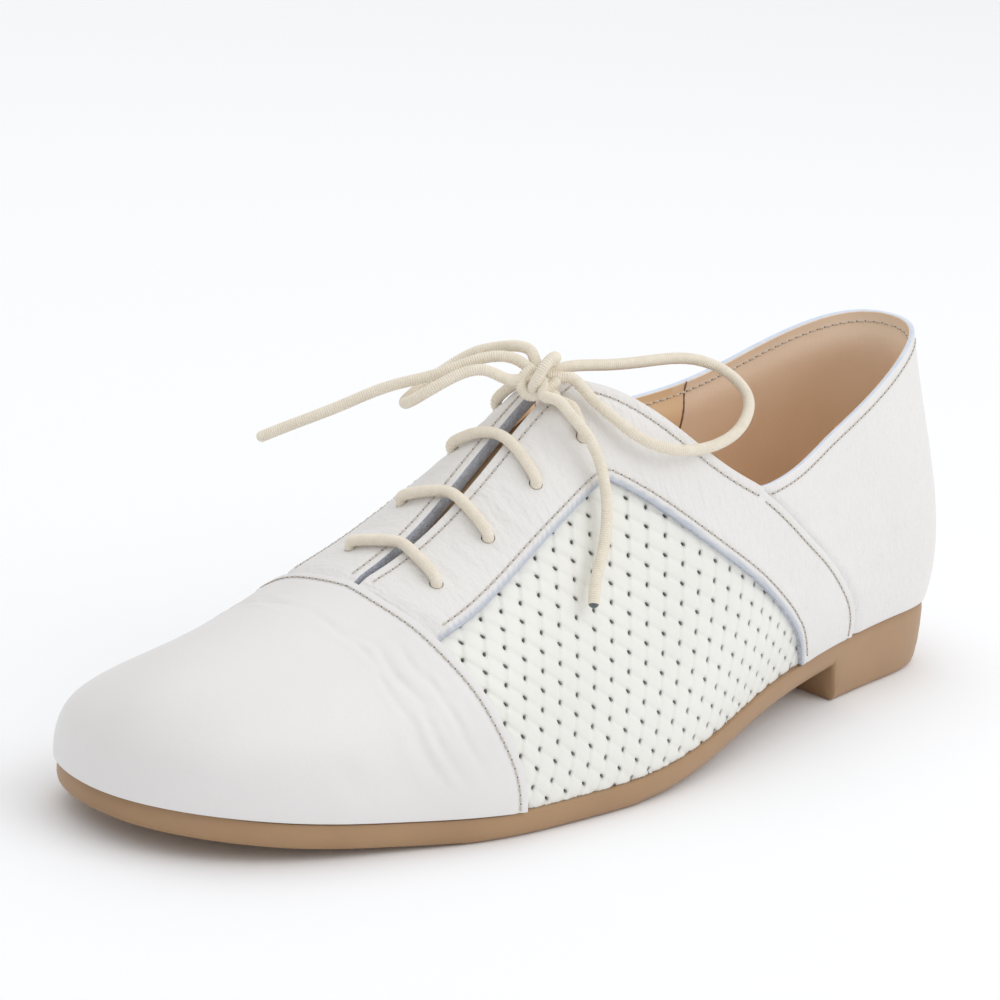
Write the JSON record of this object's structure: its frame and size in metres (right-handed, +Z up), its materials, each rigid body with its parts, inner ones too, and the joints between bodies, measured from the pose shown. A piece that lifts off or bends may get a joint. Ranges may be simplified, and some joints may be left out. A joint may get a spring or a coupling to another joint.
{
  "type": "mesh lace-up shoe",
  "caption": "Low white leather lace-up shoe with woven pierced side panels, a plain toe cap, a stitched facing tied by a round lace in a bow, and a tan moulded unit sole with a low heel.",
  "frame": {"origin": "On the floor, under the middle of the shoe's box without the bow.", "axes": "X runs from the heel to the toe, Y from the inner side to the outer side of the foot, Z up from the floor."},
  "size_m": [0.2554, 0.09, 0.09],
  "materials": {
    "sole_rubber": "satin moulded tan rubber",
    "lining_leather": "matt tan lining leather",
    "woven_leather": "white woven leather with pierced holes",
    "smooth_leather": "white fine-grained leather, low sheen",
    "lace_cord": "cream round woven cord"
  },
  "bodies": {
    "root": {"outsole": "sole_rubber", "insole": "lining_leather", "upper": "woven_leather", "toe_cap": "smooth_leather", "heel_quarter": "smooth_leather", "facing_lateral": "smooth_leather", "facing_medial": "smooth_leather", "tongue": "lining_leather", "lace_bar_1": "lace_cord", "lace_bar_2": "lace_cord", "lace_bar_3": "lace_cord", "lace_riser_lateral": "lace_cord", "lace_riser_medial": "lace_cord", "lace_knot": "lace_cord", "lace_loop_lateral": "lace_cord", "lace_loop_medial": "lace_cord", "lace_end_lateral": "lace_cord", "lace_end_medial": "lace_cord"}
  },
  "joints": []
}
